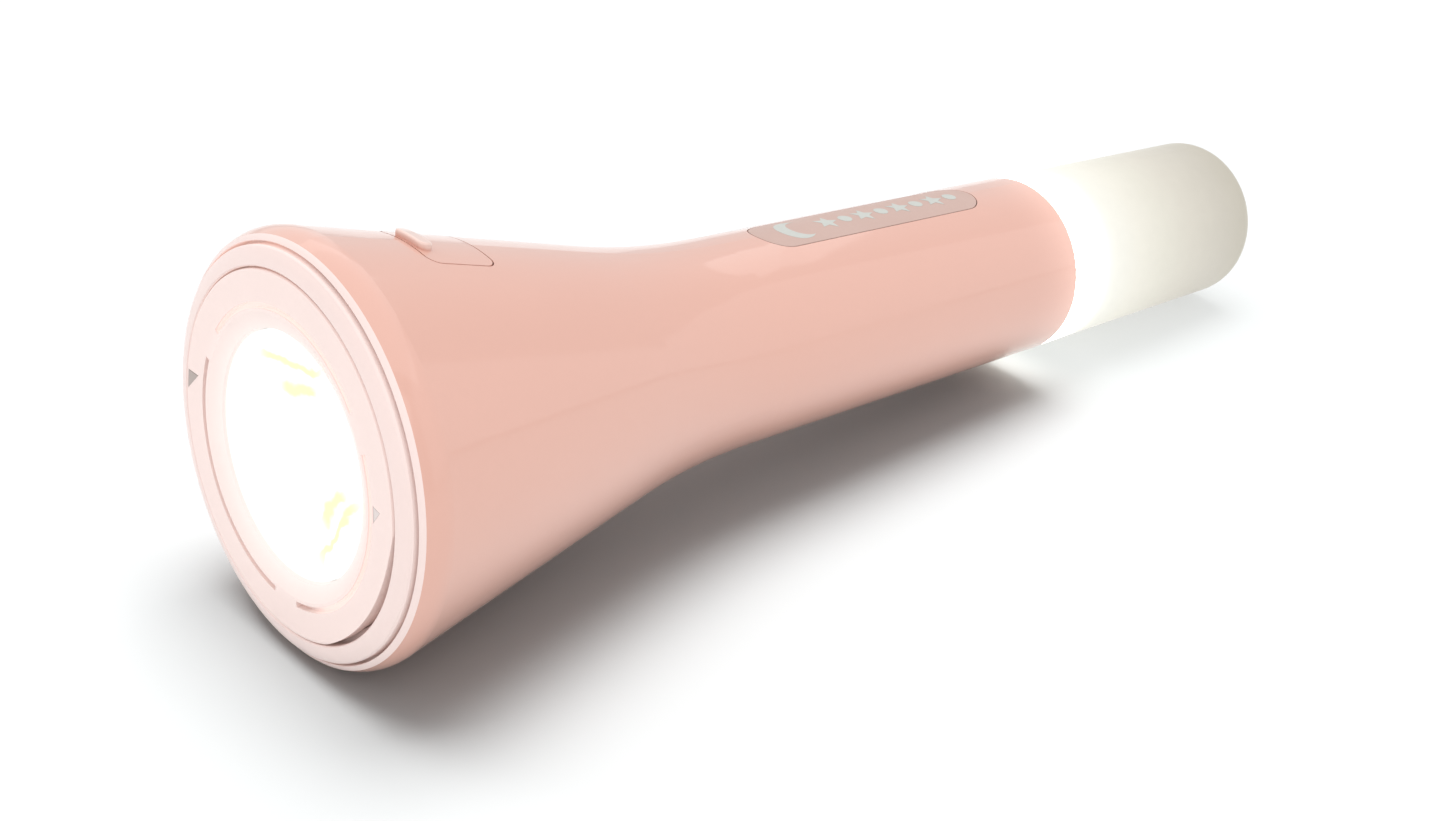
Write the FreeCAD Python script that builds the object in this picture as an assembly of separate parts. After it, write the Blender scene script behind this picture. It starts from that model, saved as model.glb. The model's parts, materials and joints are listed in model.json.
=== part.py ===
"""Rechargeable hand torch with a focusing projector head at one end and a frosted lantern at the other.

The torch is drawn on its own axis: x runs from the front face of the head (x = 0) to the tip of the lantern,
z points up through the thumb button, and angles run from the top towards +y. When all pieces are made,
the whole torch is laid down on a flat surface, resting on the rim of its head and on the end of its lantern,
with the origin at the middle of its footprint box. All sizes are in millimetres.
"""

import FreeCAD, Part
import math
import os

V = FreeCAD.Vector

# ---- Driving dimensions ------------------------------------------------------------------------------
# Outside form: a rounded front edge, a cone, a long soft hollow, a slightly tapered handle, a lantern.
FRONT_EDGE_R = 5.2          # radius of the round between the flat front face and the cone
CONE_R0 = 33.96             # the cone's radius where its line would meet the front plane
CONE_SLOPE = 0.228          # radius lost per millimetre along the cone
HANDLE_END_X = 161.0        # rear end of the body, where the lantern starts
HANDLE_END_R = 17.1
HANDLE_SLOPE = 0.013        # radius lost per millimetre along the handle and the lantern
HOLLOW_R = 127.0            # radius of the hollow between the cone and the handle
WALL = 2.2                  # wall thickness of the body
LANTERN_STEP = 0.15         # the lantern is this much thinner than the handle it meets
LANTERN_END_X = 223.4       # where the lantern's end face meets its corner round
LANTERN_CROWN = 1.6         # how far the lantern's end face bulges
LANTERN_CORNER_R = 3.5
LANTERN_WALL = 1.8

# Rings of the front face, from the outside in.
SEAM_R = 31.8               # joint between the pink body and the pale bezel, on the front round
LOCK_GAP_R = (30.45, 30.9)  # gap between the lock ring and the bezel
FOCUS_GAP_R = (27.3, 27.55) # gap between the focus cap and the lock ring
LOCK_DROP = 0.15            # the lock ring stands this far behind the front round
BEZEL_DROP = 0.4            # and the bezel's inner edge this far
EDGE_EASE = 0.2             # small bevel on the rings' edges
FUNNEL_R = 21.2             # where the focus cap starts to slope down to the lens
GRIP_SLOT_R = (21.7, 22.6)  # three curved finger slots round the lens
GRIP_SLOT_ANGLES = (123.0, -117.0, 3.0)
GRIP_SLOT_SPAN = 105.0
GRIP_SLOT_DEPTH = 1.1
LENS_R = 18.4
NOTCH_ANGLE = -122.0        # middle of the fingernail notch on the focus cap's edge
NOTCH_HALF_SPAN = 34.0
NOTCH_DEPTH = 0.9
# The focus cap's pointer marks, as sunk triangles: angle, base radius, tip radius, half the base, sideways lean.
EDGE_MARK = (86.1, 26.8, 23.9, 1.6, -1.8)
INNER_MARK = (-85.5, 22.8, 24.5, 1.3, 0.8)
MARK_DEPTH = 0.35

# Motion: the focus cap turns this far each way and its cam slots move the lens this far each way.
FOCUS_TURN_DEG = 30.0
FOCUS_TRAVEL = 0.8
LOCK_TURN_DEG = 30.0
BUTTON_TRAVEL = 0.6

# Thumb button, seen from above.
BUTTON_X = (19.2, 30.7)
BUTTON_HALF_WIDTH = 6.9
BUTTON_CORNER_R = 1.9
BUTTON_GAP = 0.22
THUMB_BAR_HALF_WIDTH = 3.6
THUMB_BAR_HIGH = 1.1

# Name plate on the handle, seen from above.
PLATE_X = (90.1, 144.9)
PLATE_HALF_WIDTH = 4.95
PLATE_THICK = 1.0
PLATE_GAP = 0.18

# Electronics inside the handle.
CELL_R = 9.2
CELL_LENGTH = 65.0
CELL_X = 84.6
CELL_Z = -4.9
BOARD_Z = (5.0, 6.6)
BOARD_X = (84.0, 150.0)
BOARD_HALF_WIDTH = 12.0
BOARD_SCREWS = ((88.0, -10.0), (88.0, 10.0), (146.8, -10.0), (146.8, 10.0))
PLATE_SCREW_X = (98.0, 131.0)
WIRE_R = 0.6
USB_X = 140.0
USB_Z = 3.35

# The bezel's back plate and the lock ring's three bayonet lugs behind it.
BEZEL_PLATE_X = (4.1, 5.9)
BEZEL_BORE_R = 28.15
LOCK_TUBE_R = (26.4, 28.0)
LUG_X = (6.1, 7.9)
LUG_OUTER_R = 28.9
LUG_ANGLES = (30.0, 150.0, 270.0)
LUG_SPAN = 18.0

# The focus cap's collar and skirt, the lens barrel inside it and the ring that keeps them in.
COLLAR_R = (18.7, 20.2)
SKIRT_R = (24.6, 26.25)
CAM_PIN_X = 9.0
CAM_PIN_R = 1.0
CAM_ANGLES = (0.0, 120.0, 240.0)
BARREL_R = (17.2, 18.5)
GUIDE_X = (13.2, 14.8)
KEY_ANGLES = (60.0, 180.0, 300.0)

# The lamp housing, its screws and the reflector.
HOUSING_PLATE_X = (17.0, 18.6)
HOUSING_SCREW_R = 24.5
SCREW_ANGLES = (60.0, 180.0, 300.0)
REFLECTOR_X = (17.6, 36.9)

# The switch under the thumb button.
SWITCH_X = 25.0
SWITCH_TOP = 23.7           # top of the switch's plunger well
PLUNGER_TOP = 24.3
PLUNGER_FOOT = SWITCH_TOP - 1.2

ORIGIN = V(0, 0, 0)
AXIS = V(1, 0, 0)


# ---- Outside form, as radius against x ---------------------------------------------------------------
def cone_r(x):
    return CONE_R0 - CONE_SLOPE * x


def handle_r(x):
    return HANDLE_END_R + HANDLE_SLOPE * (HANDLE_END_X - x)


def front_x(r):
    """x of the front round at radius r."""
    return FRONT_EDGE_R - math.sqrt(FRONT_EDGE_R**2 - (r - FRONT_FLAT_R) ** 2)


CONE_ANGLE = math.atan(CONE_SLOPE)
HANDLE_ANGLE = math.atan(HANDLE_SLOPE)
# The front round touches the front plane and the cone, which sets where the flat part of the face ends.
FRONT_FLAT_R = CONE_R0 - FRONT_EDGE_R * (CONE_SLOPE + 1 / math.cos(CONE_ANGLE))
CONE_START = (FRONT_EDGE_R * (1 + math.sin(CONE_ANGLE)), FRONT_FLAT_R + FRONT_EDGE_R * math.cos(CONE_ANGLE))
# The hollow touches the cone and the handle line.
MEET_X = (CONE_R0 - HANDLE_END_R - HANDLE_SLOPE * HANDLE_END_X) / (CONE_SLOPE - HANDLE_SLOPE)
HOLLOW_TANGENT = HOLLOW_R * math.tan((CONE_ANGLE - HANDLE_ANGLE) / 2)
CONE_END_X = MEET_X - HOLLOW_TANGENT * math.cos(CONE_ANGLE)
HANDLE_START_X = MEET_X + HOLLOW_TANGENT * math.cos(HANDLE_ANGLE)
HOLLOW_MID_ANGLE = (CONE_ANGLE + HANDLE_ANGLE) / 2
HOLLOW_CENTRE = (
    CONE_END_X + HOLLOW_R * math.sin(CONE_ANGLE),
    cone_r(CONE_END_X) + HOLLOW_R * math.cos(CONE_ANGLE),
)


def hollow_middle(offset):
    """Middle point of the hollow's arc, moved inwards by offset."""
    reach = HOLLOW_R + offset
    return (
        HOLLOW_CENTRE[0] - reach * math.sin(HOLLOW_MID_ANGLE),
        HOLLOW_CENTRE[1] - reach * math.cos(HOLLOW_MID_ANGLE),
    )


# ---- Shape helpers -----------------------------------------------------------------------------------
def via(point):
    """Marks a point of an outline as the middle of an arc."""
    return ("via", point[0], point[1])


def dome_middle(pole_x, rim_x, rim_r):
    """Halfway point of the arc from a dome's pole, on the axis, to its rim; the dome is part of a sphere."""
    sag = rim_x - pole_x
    sphere_r = (rim_r**2 + sag**2) / (2 * abs(sag))
    side = math.copysign(1, sag)
    half_r = rim_r / 2
    return via((pole_x + side * (sphere_r - math.sqrt(sphere_r**2 - half_r**2)), half_r))


def section(points, place):
    """A flat face from an outline of corners and arc middles; place turns each pair into a point."""
    loop = points + points[:1]
    edges = []
    i = 0
    while i < len(loop) - 1:
        if len(loop[i + 1]) == 3:
            middle = loop[i + 1][1:]
            edges.append(Part.Arc(place(*loop[i]), place(*middle), place(*loop[i + 2])).toShape())
            i += 2
        else:
            edges.append(Part.LineSegment(place(*loop[i]), place(*loop[i + 1])).toShape())
            i += 1
    return Part.Face(Part.Wire(edges))


def upright(shape):
    """The same solid with its faces turned outwards."""
    if shape.Volume < 0:
        shape.reverse()
    return shape


def turned(points, degrees=360.0):
    """A solid of revolution about the torch's axis from an outline of (x, radius)."""
    face = section(points, lambda x, r: V(x, 0, r))
    return upright(face.revolve(ORIGIN, AXIS, degrees))


def at_angle(shape, degrees):
    """The shape carried round the torch's axis, from the top towards +y."""
    moved = shape.copy()
    moved.rotate(ORIGIN, AXIS, -degrees)
    return moved


def moved(shape, x=0.0, y=0.0, z=0.0):
    copy = shape.copy()
    copy.translate(V(x, y, z))
    return copy


def tube(x0, x1, r_in, r_out):
    return turned([(x0, r_in), (x1, r_in), (x1, r_out), (x0, r_out)])


def sector(x0, x1, r_in, r_out, middle, span):
    """A piece of a tube that spans some degrees round the axis."""
    piece = turned([(x0, r_in), (x1, r_in), (x1, r_out), (x0, r_out)], span)
    return at_angle(piece, middle + span / 2)


def rod(x0, x1, r, y=0.0, z=0.0):
    """A cylinder parallel to the torch's axis."""
    return Part.makeCylinder(r, x1 - x0, V(x0, y, z), AXIS)


def post(x, y, z0, z1, r):
    """A vertical cylinder."""
    return Part.makeCylinder(r, z1 - z0, V(x, y, z0), V(0, 0, 1))


def box(x, y, z):
    """A box from three (low, high) pairs."""
    return Part.makeBox(x[1] - x[0], y[1] - y[0], z[1] - z[0], V(x[0], y[0], z[0]))


def round_prism(x, half_width, corner, z):
    """A vertical prism whose plan is a rectangle with round corners."""
    x0, x1 = x
    w = half_width
    near = corner * (1 - math.sqrt(0.5))
    points = [
        (x0 + corner, -w), (x1 - corner, -w), via((x1 - near, -w + near)),
        (x1, -w + corner), (x1, w - corner), via((x1 - near, w - near)),
        (x1 - corner, w), (x0 + corner, w), via((x0 + near, w - near)),
        (x0, w - corner), (x0, -w + corner), via((x0 + near, -w + near)),
    ]
    face = section(points, lambda a, b: V(a, b, z[0]))
    return upright(face.extrude(V(0, 0, z[1] - z[0])))


def stadium_prism(x, half_width, z):
    """A vertical prism with half-round ends."""
    x0, x1 = x
    w = half_width
    points = [(x0 + w, -w), (x1 - w, -w), via((x1, 0)), (x1 - w, w), (x0 + w, w), via((x0, 0))]
    face = section(points, lambda a, b: V(a, b, z[0]))
    return upright(face.extrude(V(0, 0, z[1] - z[0])))


def side_stadium(half_x, half_z, y):
    """A prism across the torch, centred on the charging socket, with half-round ends."""
    points = [
        (USB_X - half_x + half_z, USB_Z - half_z), (USB_X + half_x - half_z, USB_Z - half_z),
        via((USB_X + half_x, USB_Z)), (USB_X + half_x - half_z, USB_Z + half_z),
        (USB_X - half_x + half_z, USB_Z + half_z), via((USB_X - half_x, USB_Z)),
    ]
    face = section(points, lambda a, b: V(a, y[0], b))
    return upright(face.extrude(V(0, y[1] - y[0], 0)))


def cone_form(x0, x1, offset):
    """The flared part of the outside form as a solid, moved outwards by offset."""
    return Part.makeCone(cone_r(x0) + offset, cone_r(x1) + offset, x1 - x0, V(x0, 0, 0), AXIS)


def handle_form(x0, x1, offset):
    """The handle's outside form as a solid, moved outwards by offset."""
    return Part.makeCone(handle_r(x0) + offset, handle_r(x1) + offset, x1 - x0, V(x0, 0, 0), AXIS)


def fused(shapes):
    """One solid from several that overlap."""
    whole = shapes[0]
    for other in shapes[1:]:
        whole = whole.fuse(other)
    return whole.removeSplitter()


def group(shapes):
    """Several separate solids in one node."""
    return Part.makeCompound(shapes)


def wire_tube(points, radius):
    """A round wire along straight runs joined by tangent arcs."""
    path = [V(*p) for p in points]
    edges = []
    start = path[0]
    for before, corner, after in zip(path, path[1:], path[2:]):
        back = before - corner
        ahead = after - corner
        turn = math.pi - back.getAngle(ahead)
        reach = 0.45 * min(back.Length, ahead.Length)
        arc_r = reach / math.tan(turn / 2)
        back.normalize()
        ahead.normalize()
        enter = corner + back * reach
        leave = corner + ahead * reach
        centre_dir = back + ahead
        centre_dir.normalize()
        centre = corner + centre_dir * (arc_r / math.cos(turn / 2))
        middle = centre - centre_dir * arc_r
        edges.append(Part.LineSegment(start, enter).toShape())
        edges.append(Part.Arc(enter, middle, leave).toShape())
        start = leave
    edges.append(Part.LineSegment(start, path[-1]).toShape())
    spine = Part.Wire(edges)
    ring = Part.Wire([Part.Circle(path[0], path[1] - path[0], radius).toShape()])
    return upright(Part.Solid(spine.makePipeShell([ring], True, False)))


# ---- Body and head -----------------------------------------------------------------------------------
def button_opening():
    x = (BUTTON_X[0] - BUTTON_GAP, BUTTON_X[1] + BUTTON_GAP)
    return round_prism(x, BUTTON_HALF_WIDTH + BUTTON_GAP, BUTTON_CORNER_R + BUTTON_GAP, (15, 40))


def plate_recess():
    x = (PLATE_X[0] - PLATE_GAP, PLATE_X[1] + PLATE_GAP)
    stadium = stadium_prism(x, PLATE_HALF_WIDTH + PLATE_GAP, (5, 40))
    return stadium.cut(handle_form(x[0] - 5, x[1] + 5, -PLATE_THICK - 0.05))


def body_shell():
    """One-piece flared tube with a counterbore for the bezel, three screw bosses and its openings."""
    inner = WALL / math.cos(CONE_ANGLE)
    outer_line = [
        (front_x(SEAM_R), SEAM_R),
        via((FRONT_EDGE_R, FRONT_FLAT_R + FRONT_EDGE_R)),
        CONE_START,
        (CONE_END_X, cone_r(CONE_END_X)),
        via(hollow_middle(0)),
        (HANDLE_START_X, handle_r(HANDLE_START_X)),
        (HANDLE_END_X - 0.4, handle_r(HANDLE_END_X - 0.4)),
        via((HANDLE_END_X - 0.12, HANDLE_END_R - 0.12)),
        (HANDLE_END_X, HANDLE_END_R - 0.4),
    ]
    inner_line = [
        (HANDLE_END_X, 15.3),
        (151.0, 15.3),
        (151.0, handle_r(151.0) - WALL),
        (HANDLE_START_X, handle_r(HANDLE_START_X) - WALL),
        via(hollow_middle(WALL)),
        (CONE_END_X, cone_r(CONE_END_X) - inner),
        (12.0, cone_r(12.0) - inner),
        (12.0, 30.2),
        (5.2, 30.2),
        (5.2, 31.4),
        (front_x(SEAM_R), 31.4),
    ]
    shell = turned(outer_line + inner_line)
    boss = rod(HOUSING_PLATE_X[1], 52, 3.0, 0, HOUSING_SCREW_R)
    boss = boss.common(cone_form(10, 54, -1.0))
    shell = fused([shell] + [at_angle(boss, a) for a in SCREW_ANGLES])
    pilot = rod(HOUSING_PLATE_X[1] - 1, HOUSING_PLATE_X[1] + 11, 1.15, 0, HOUSING_SCREW_R)
    cuts = [at_angle(pilot, a) for a in SCREW_ANGLES]
    cuts += [post(x, 0, 12, 20, 1.3) for x in PLATE_SCREW_X]
    cuts += [button_opening(), plate_recess(), side_stadium(4.9, 1.95, (10, 25))]
    return shell.cut(Part.makeCompound(cuts))


def front_bezel():
    """Pale fixed ring round the face; its plate holds the lock ring's lugs and has notches to free them."""
    edge_r = LOCK_GAP_R[1]
    arc_r = (edge_r + SEAM_R) / 2
    ring = turned([
        (front_x(edge_r) + BEZEL_DROP + EDGE_EASE / 2, edge_r),
        (front_x(edge_r) + BEZEL_DROP, edge_r + EDGE_EASE / 2),
        via((front_x(arc_r) + BEZEL_DROP * 0.4, arc_r)),
        (front_x(SEAM_R), SEAM_R),
        (front_x(SEAM_R), 31.35),
        (5.15, 31.35),
        (5.15, 30.15),
        (11.9, 30.15),
        (11.9, 29.0),
        (BEZEL_PLATE_X[1], 29.0),
        (BEZEL_PLATE_X[1], BEZEL_BORE_R),
        (BEZEL_PLATE_X[0], BEZEL_BORE_R),
        (BEZEL_PLATE_X[0], edge_r),
    ])
    notch = sector(BEZEL_PLATE_X[0] - 0.1, BEZEL_PLATE_X[1] + 0.1, BEZEL_BORE_R - 0.5, 29.0, 0, LUG_SPAN + 4)
    # Turning the lock ring by its full travel about +x carries its lugs back towards smaller angles.
    return ring.cut(Part.makeCompound([at_angle(notch, a - LOCK_TURN_DEG) for a in LUG_ANGLES]))


def lock_ring():
    """Ring that twists to free the lens head: a domed flange, a tube and three bayonet lugs."""
    outer_r, inner_r = LOCK_GAP_R[0], FOCUS_GAP_R[1]
    mid_r = (outer_r + inner_r) / 2
    inner_x = front_x(inner_r + EDGE_EASE) + LOCK_DROP
    outer_x = front_x(outer_r - EDGE_EASE) + LOCK_DROP
    ring = turned([
        (inner_x + EDGE_EASE, inner_r),
        (inner_x, inner_r + EDGE_EASE),
        via((front_x(mid_r) + LOCK_DROP, mid_r)),
        (outer_x, outer_r - EDGE_EASE),
        (outer_x + EDGE_EASE * 1.5, outer_r),
        (3.9, outer_r),
        (3.9, LOCK_TUBE_R[1]),
        (14.0, LOCK_TUBE_R[1]),
        (14.0, LOCK_TUBE_R[0]),
        (3.0, LOCK_TUBE_R[0]),
        (3.0, inner_r),
    ])
    lugs = [sector(*LUG_X, LOCK_TUBE_R[0] + 0.6, LUG_OUTER_R, a, LUG_SPAN) for a in LUG_ANGLES]
    return fused([ring] + lugs)


def mark_pocket(angle, base_r, tip_r, half_base, lean):
    """A triangular prism along the axis, from in front of the face to a mark's floor."""
    points = [(-half_base, base_r), (half_base, base_r), (lean, tip_r)]
    face = section(points, lambda a, b: V(-1, a, b))
    return at_angle(upright(face.extrude(V(MARK_DEPTH + 1, 0, 0))), angle)


def cam_slot():
    """A slanting slot in the focus cap's collar; turning the cap drives the cam pin along it."""
    reach = 11.4
    half = CAM_PIN_R + 0.12
    lean = FOCUS_TRAVEL / (sum(COLLAR_R) / 2 * math.sin(math.radians(FOCUS_TURN_DEG)))
    points = [
        (CAM_PIN_X - half - lean * reach, -reach), (CAM_PIN_X + half - lean * reach, -reach),
        (CAM_PIN_X + half + lean * reach, reach), (CAM_PIN_X - half + lean * reach, reach),
    ]
    face = section(points, lambda a, b: V(a, b, 14))
    return upright(face.extrude(V(0, 0, 7)))


def focus_cap():
    """Front ring round the lens: finger slots, a fingernail notch, a skirt and a collar with cam slots."""
    outer_r = FOCUS_GAP_R[0]
    cap = turned([
        (1.1, COLLAR_R[0]),
        (0.06, FUNNEL_R - 0.15),
        (0.0, FUNNEL_R),
        (0.0, outer_r - EDGE_EASE * 2),
        (EDGE_EASE / 2, outer_r - EDGE_EASE / 2),
        (EDGE_EASE * 2, outer_r),
        (1.8, outer_r),
        (1.8, SKIRT_R[1]),
        (13.0, SKIRT_R[1]),
        (13.0, SKIRT_R[0]),
        (1.8, SKIRT_R[0]),
        (1.8, COLLAR_R[1]),
        (12.9, COLLAR_R[1]),
        (12.9, COLLAR_R[0]),
    ])
    slots = [sector(-1, GRIP_SLOT_DEPTH, *GRIP_SLOT_R, a, GRIP_SLOT_SPAN) for a in GRIP_SLOT_ANGLES]
    cams = [at_angle(cam_slot(), a) for a in CAM_ANGLES]
    # The notch is what a larger, off-centre circle leaves outside it.
    half = math.radians(NOTCH_HALF_SPAN)
    deep_r = outer_r - NOTCH_DEPTH
    off = (outer_r**2 - deep_r**2) / (2 * (deep_r - outer_r * math.cos(half)))
    notch = rod(-1, 1.9, outer_r + 2).cut(rod(-2, 3, deep_r + off, 0, -off))
    marks = [mark_pocket(*mark) for mark in (EDGE_MARK, INNER_MARK)]
    return cap.cut(Part.makeCompound(slots + cams + marks + [at_angle(notch, NOTCH_ANGLE)]))


def guide_ring():
    """Ring snapped into the lock ring: it keeps the focus cap in and its keys stop the barrel turning."""
    keys = [at_angle(box(GUIDE_X, (-1.5, 1.5), (17.95, 19.5)), a) for a in KEY_ANGLES]
    return fused([tube(*GUIDE_X, 18.75, LOCK_TUBE_R[0] - 0.05)] + keys)


def lens_barrel():
    """Tube that carries the lens: three cam pins and three straight key grooves."""
    pins = [at_angle(post(CAM_PIN_X, 0, 17.9, 20.1, CAM_PIN_R), a) for a in CAM_ANGLES]
    barrel = fused([tube(3.1, 16.0, *BARREL_R)] + pins)
    grooves = [at_angle(box((11.5, 17.0), (-1.65, 1.65), (17.8, 20.0)), a) for a in KEY_ANGLES]
    return barrel.cut(Part.makeCompound(grooves))


def front_lens():
    """Two-sided convex lens whose rim sits on the front of the barrel."""
    front_pole, front_rim, back_rim, back_pole = 0.85, 1.5, 3.1, 9.6
    return turned([
        (front_pole, 0.0),
        dome_middle(front_pole, front_rim, LENS_R),
        (front_rim, LENS_R),
        (back_rim, LENS_R),
        (back_rim, 17.1),
        dome_middle(back_pole, back_rim, 17.1),
        (back_pole, 0.0),
    ])


def lamp_housing():
    """Mounting plate with a tube behind it for the reflector, the light source and the heat sink."""
    shape = turned([
        (HOUSING_PLATE_X[0], 18.9), (17.5, 18.9), (17.5, 17.9), (18.9, 17.9), (18.9, 17.2), (41.5, 17.2),
        (41.5, 18.7), (HOUSING_PLATE_X[1], 18.7), (HOUSING_PLATE_X[1], 27.2), (HOUSING_PLATE_X[0], 27.2),
    ])
    shelf = box((19.0, 31.0), (-7.0, 7.0), (17.95, 19.8)).cut(rod(18, 32, 17.9))
    holes = [at_angle(rod(16, 20, 1.25, 0, HOUSING_SCREW_R), a) for a in SCREW_ANGLES]
    wire_way = at_angle(box((36.0, 42.0), (-2.4, 2.4), (16.5, 19.5)), 90)
    return fused([shape, shelf]).cut(Part.makeCompound(holes + [wire_way]))


def screw(length, head_r, head_high, shank_r):
    """A pan-head screw along -x from its seat at x = 0, with a cross recess."""
    head = turned([
        (0, 0), (0, head_r), (-head_high * 0.5, head_r), (-head_high, head_r * 0.6), (-head_high, 0),
    ])
    shank = turned([(0, 0), (0, shank_r), (length - shank_r, shank_r), (length, 0.2), (length, 0)])
    arm = head_r * 0.6
    slot = box((-head_high - 1, -head_high * 0.45), (-arm, arm), (-0.25, 0.25))
    cross = slot.fuse(box((-head_high - 1, -head_high * 0.45), (-0.25, 0.25), (-arm, arm)))
    return fused([head, shank]).cut(cross)


def housing_screws():
    one = moved(screw(9.5, 2.2, 1.5, 1.1), HOUSING_PLATE_X[0] - 0.02, 0, HOUSING_SCREW_R)
    return group([at_angle(one, a) for a in SCREW_ANGLES])


def reflector():
    """Bright bowl with a rim; its hole lets the light source through."""
    x0, x1 = REFLECTOR_X
    return turned([
        (x0, 16.4), via((x0 + 13.2, 11.0)), (x1, 4.2), (x1 + 0.3, 5.6), via((x0 + 13.7, 12.3)),
        (x0 + 2.2, 16.9), (x0 + 1.2, 16.9), (x0 + 1.2, 17.8), (x0, 17.8),
    ])


def beam_led():
    """Square light source with a domed front, in the throat of the reflector."""
    base = box((35.9, 37.35), (-1.75, 1.75), (-1.75, 1.75))
    dome = turned([(34.3, 0), via((34.8, 1.05)), (35.9, 1.5), (36.2, 1.5), (36.2, 0)])
    return fused([base, dome])


def beam_led_board():
    """Round metal-core board with two edge notches for its screws."""
    board = rod(37.4, 38.9, 11.0)
    return board.cut(group([rod(37, 39.5, 1.5, y, 0) for y in (-10.2, 10.2)]))


def heat_sink():
    """Aluminium disc with five fins behind it."""
    disc = rod(38.95, 41.5, 16.9)
    fins = [box((41.0, 47.0), (-12.0, 12.0), (z - 0.8, z + 0.8)) for z in (-9.0, -4.5, 0.0, 4.5, 9.0)]
    wire_hole = rod(38, 48, 1.9, 14.3, 0)
    return fused([disc] + fins).cut(wire_hole)


# ---- Thumb button and its switch ---------------------------------------------------------------------
def thumb_button():
    """Button flush with the cone: a pad with a raised thumb bar, a hidden flange and a stem."""
    x = BUTTON_X
    inner = WALL / math.cos(CONE_ANGLE)
    pad = round_prism(x, BUTTON_HALF_WIDTH, BUTTON_CORNER_R, (15, 40))
    pad = pad.common(cone_form(10, 45, 0)).cut(cone_form(10, 45, -inner - 0.7))
    flange = round_prism((x[0] + 0.1, x[1] + 1.5), BUTTON_HALF_WIDTH + 1.5, BUTTON_CORNER_R, (15, 40))
    flange = flange.common(cone_form(10, 45, -inner - 0.2)).cut(cone_form(10, 45, -inner - 0.9))
    bar = round_prism((x[0] + 0.45, x[0] + 2.75), THUMB_BAR_HALF_WIDTH, 1.05, (20, 40))
    bar = bar.common(cone_form(10, 45, THUMB_BAR_HIGH)).cut(cone_form(10, 45, -1.0))
    crown_foot = cone_r(x[0] + 3) + THUMB_BAR_HIGH - 0.6
    crown = [e for e in bar.Edges if min(v.Point.z for v in e.Vertexes) > crown_foot]
    bar = bar.makeFillet(0.4, crown)
    stem = post(SWITCH_X, 0, PLUNGER_TOP, 27.0, 2.2)
    return fused([pad, flange, bar, stem])


def switch_plunger():
    return post(SWITCH_X, 0, PLUNGER_FOOT, PLUNGER_TOP - 0.01, 1.6)


def tact_switch():
    """Square switch body with a round well for its plunger and four legs."""
    base = box((SWITCH_X - 3, SWITCH_X + 3), (-3, 3), (21.0, SWITCH_TOP - 0.6))
    legs = [
        box((SWITCH_X + a - 0.4, SWITCH_X + a + 0.4), (b - 0.7, b + 0.7), (21.0, 21.3))
        for a in (-2.2, 2.2) for b in (-3.4, 3.4)
    ]
    well_foot = PLUNGER_FOOT - BUTTON_TRAVEL - 0.1
    return fused([base] + legs).cut(post(SWITCH_X, 0, well_foot, 25, 1.7))


def switch_board():
    board = box((19.6, 30.4), (-6.6, 6.6), (19.8, 21.0))
    return board.cut(group([post(x, y, 19, 22, 0.9) for x, y in ((21.4, -5.2), (28.6, 5.2))]))


# ---- Handle: frame, cell, board and their details ----------------------------------------------------
def inner_frame():
    """Long tray for the cell and the board, with two towers that the plate screws pull to the wall."""
    tray = rod(82.0, 151.0, 14.6).common(box((80, 155), (-20, 20), (-20, 4.9)))
    trough = rod(CELL_X - 0.6, CELL_X + CELL_LENGTH + 0.6, CELL_R + 0.2, 0, CELL_Z)
    open_top = box((CELL_X - 0.6, CELL_X + CELL_LENGTH + 0.6), (-CELL_R - 0.2, CELL_R + 0.2), (CELL_Z, 6))
    floor_windows = [
        box((x, x + 11), (-5.5, 5.5), (-16, -10)) for x in (90.0, 111.6, 133.2)
    ]
    socket_pocket = box((USB_X - 5.0, USB_X + 5.0), (CELL_R - 0.5, 17), (1.4, 6))
    tray = tray.cut(Part.makeCompound([trough, open_top, socket_pocket] + floor_windows))
    towers = []
    for x in PLATE_SCREW_X:
        bridge = box((x - 2.6, x + 2.6), (-10.5, 10.5), (4.45, 4.9))
        tower = post(x, 0, 4.45, 15.3, 2.6).common(handle_form(80, 155, -WALL - 0.1))
        towers += [bridge, tower]
    pilots = [post(x, 0, 6.8, 18, 1.05) for x in PLATE_SCREW_X]
    pilots += [post(x, y, 1.8, 6, 1.05) for x, y in BOARD_SCREWS]
    return fused([tray] + towers).cut(Part.makeCompound(pilots))


def plate_screws():
    """Two flat screws under the name plate that hold the inner frame in the body."""
    made = []
    for x in PLATE_SCREW_X:
        seat = handle_r(x) - PLATE_THICK - 0.05
        profile = [
            (0.15, 0), (0.15, 1.0), (0.55, 1.25), (1.0, 1.0), (8.0, 1.0), (9.0, 0.2), (9.0, 0),
        ]
        one = turned(profile).cut(box((-1, 0.55), (-0.8, 0.8), (-0.2, 0.2)))
        one.rotate(ORIGIN, V(0, 1, 0), 90)
        one.translate(V(x, 0, seat))
        made.append(one)
    return group(made)


def battery_cell():
    """Wrapped round cell with its raised positive end."""
    can = turned([
        (0, 0), (0, CELL_R - 0.5), (0.5, CELL_R), (CELL_LENGTH - 1.6, CELL_R),
        (CELL_LENGTH - 1.1, CELL_R - 0.5), (CELL_LENGTH - 1.1, 3.4), (CELL_LENGTH - 0.1, 3.2), (CELL_LENGTH - 0.1, 0),
    ])
    return moved(can, CELL_X, 0, CELL_Z)


def battery_tabs():
    """Nickel strips on the cell's two ends, each bent up beside the board."""
    minus = box((CELL_X - 0.35, CELL_X - 0.05), (-2.5, 2.5), (CELL_Z - 3, 4.2))
    plus_x = CELL_X + CELL_LENGTH - 0.05
    plus = box((plus_x, plus_x + 0.3), (-2.5, 2.5), (CELL_Z - 3, 4.2))
    return group([minus, plus])


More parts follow.
